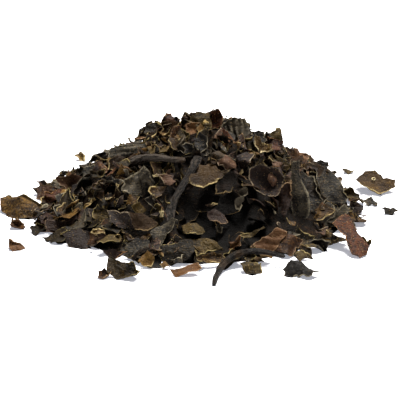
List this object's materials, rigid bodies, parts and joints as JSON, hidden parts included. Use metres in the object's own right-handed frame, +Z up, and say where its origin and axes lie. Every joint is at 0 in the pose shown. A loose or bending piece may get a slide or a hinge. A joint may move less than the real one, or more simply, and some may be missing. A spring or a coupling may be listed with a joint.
{
  "type": "heap of dried cut bladderwrack",
  "caption": "Low heap of dried, cut bladderwrack: thin dark curled flakes with cut edges, short stalk pieces and a few flakes lying loose around it, on a flat underside.",
  "frame": {"origin": "middle of the heap's flat underside, on the surface that it lies on", "axes": "+Z up from the surface, +X along the longest side, with the loose flakes at both ends, +Y to the back of the heap"},
  "size_m": [0.1115, 0.1067, 0.027],
  "materials": {
    "dark_flake": "charcoal brown dried frond, matte with a faint sheen",
    "grey_flake": "grey-black dried frond, satin on the bends",
    "olive_flake": "dark olive dried frond, satin",
    "rust_flake": "rust-brown dried frond, matte",
    "maroon_flake": "brown-maroon dried frond, satin",
    "red_flake": "red-brown dried frond, matte",
    "gold_flake": "golden-olive dried frond, slightly translucent look",
    "stalk": "grey-black wrinkled dried stalk, matte"
  },
  "bodies": {
    "root": {"wing_left": "maroon_flake", "red_left": "red_flake", "stand_left": "maroon_flake", "strip_left": "rust_flake", "mauve_left": "maroon_flake", "fold_left": "olive_flake", "grey_shoulder": "grey_flake", "cup_left": "grey_flake", "brown_mid": "gold_flake", "mauve_mid": "maroon_flake", "cup_right": "dark_flake", "tall_fold": "grey_flake", "side_fold": "rust_flake", "rough_right": "grey_flake", "broad_right": "grey_flake", "roll_right": "olive_flake", "gold_right": "gold_flake", "lip_right": "grey_flake", "quad_front": "rust_flake", "red_front": "rust_flake", "fold_front": "grey_flake", "olive_front": "olive_flake", "ridge_front": "olive_flake", "arch_front": "grey_flake", "slab_front": "grey_flake", "spiky_top": "olive_flake", "curl_peak": "red_flake", "dark_peak": "olive_flake", "ribbed_roll": "grey_flake", "vee_right": "gold_flake", "ledge_right": "rust_flake", "back_fan": "grey_flake", "back_cup": "olive_flake", "back_strap": "rust_flake", "back_shield": "maroon_flake", "back_roll": "grey_flake", "back_slab": "gold_flake", "far_left": "gold_flake", "far_right": "rust_flake", "strap_right": "rust_flake", "lobes_front": "grey_flake", "chip_stalk": "olive_flake", "pair_front": "olive_flake", "pair_small": "rust_flake", "bud_left": "olive_flake", "crumb_left": "rust_flake", "crumb_front": "rust_flake", "curl_behind": "gold_flake", "bead_right": "grey_flake", "chip_right": "maroon_flake", "chip_behind": "rust_flake", "leaf_behind": "grey_flake", "stalk_curved": "stalk", "stalk_pale": "stalk", "stalk_forked": "stalk", "stem_upright": "olive_flake", "stalk_butt": "dark_flake", "stalk_back": "stalk", "stalk_side": "stalk", "packed_flakes": "dark_flake"}
  },
  "joints": []
}
